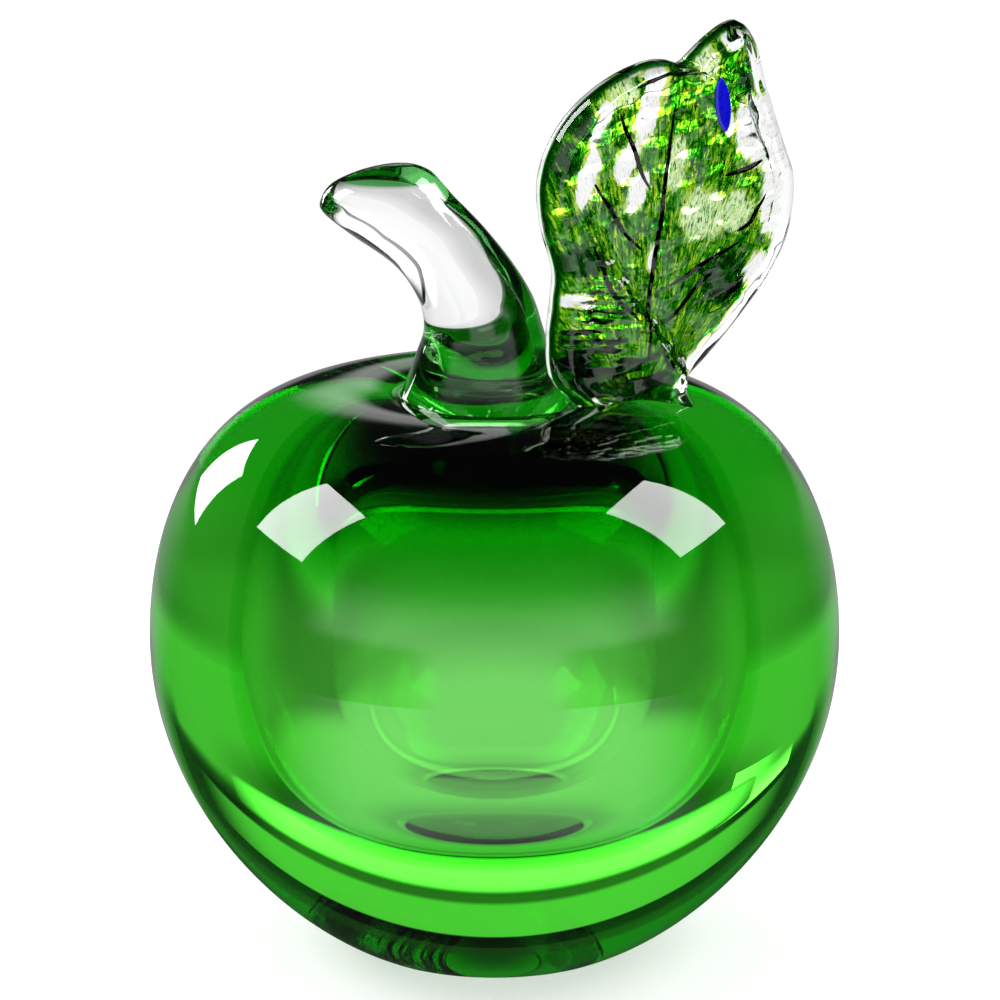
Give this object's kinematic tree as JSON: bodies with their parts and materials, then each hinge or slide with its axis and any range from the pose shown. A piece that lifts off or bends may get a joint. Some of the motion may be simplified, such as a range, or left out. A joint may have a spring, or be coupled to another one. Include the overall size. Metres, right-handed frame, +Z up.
{
  "type": "art glass apple",
  "caption": "Solid art glass apple with a sealed bubble inside, a bent glass stem and a pressed glass leaf, standing on a ground foot ring.",
  "frame": {"origin": "centre of the ground foot ring, on the plane that the apple stands on", "axes": "+Z up through the stem's seat, the leaf on the +X side, and the pictured front towards -Y"},
  "size_m": [0.12, 0.12, 0.1634],
  "materials": {
    "casing_glass": "fire-polished deep green transparent glass, ground foot ring",
    "lining_glass": "the same deep green transparent glass, first gather",
    "clear_glass": "fire-polished colourless glass",
    "chip_glass": "yellow-green glass chips fused in the leaf",
    "thread_glass": "dark green drawn glass thread",
    "mark_blue": "opaque blue glass, blank"
  },
  "bodies": {
    "root": {"casing": "casing_glass", "bubble_lining": "lining_glass", "stem": "clear_glass", "leaf_blade": "clear_glass", "leaf_core": "chip_glass", "leaf_threads": "thread_glass", "blue_mark": "mark_blue"}
  },
  "joints": []
}
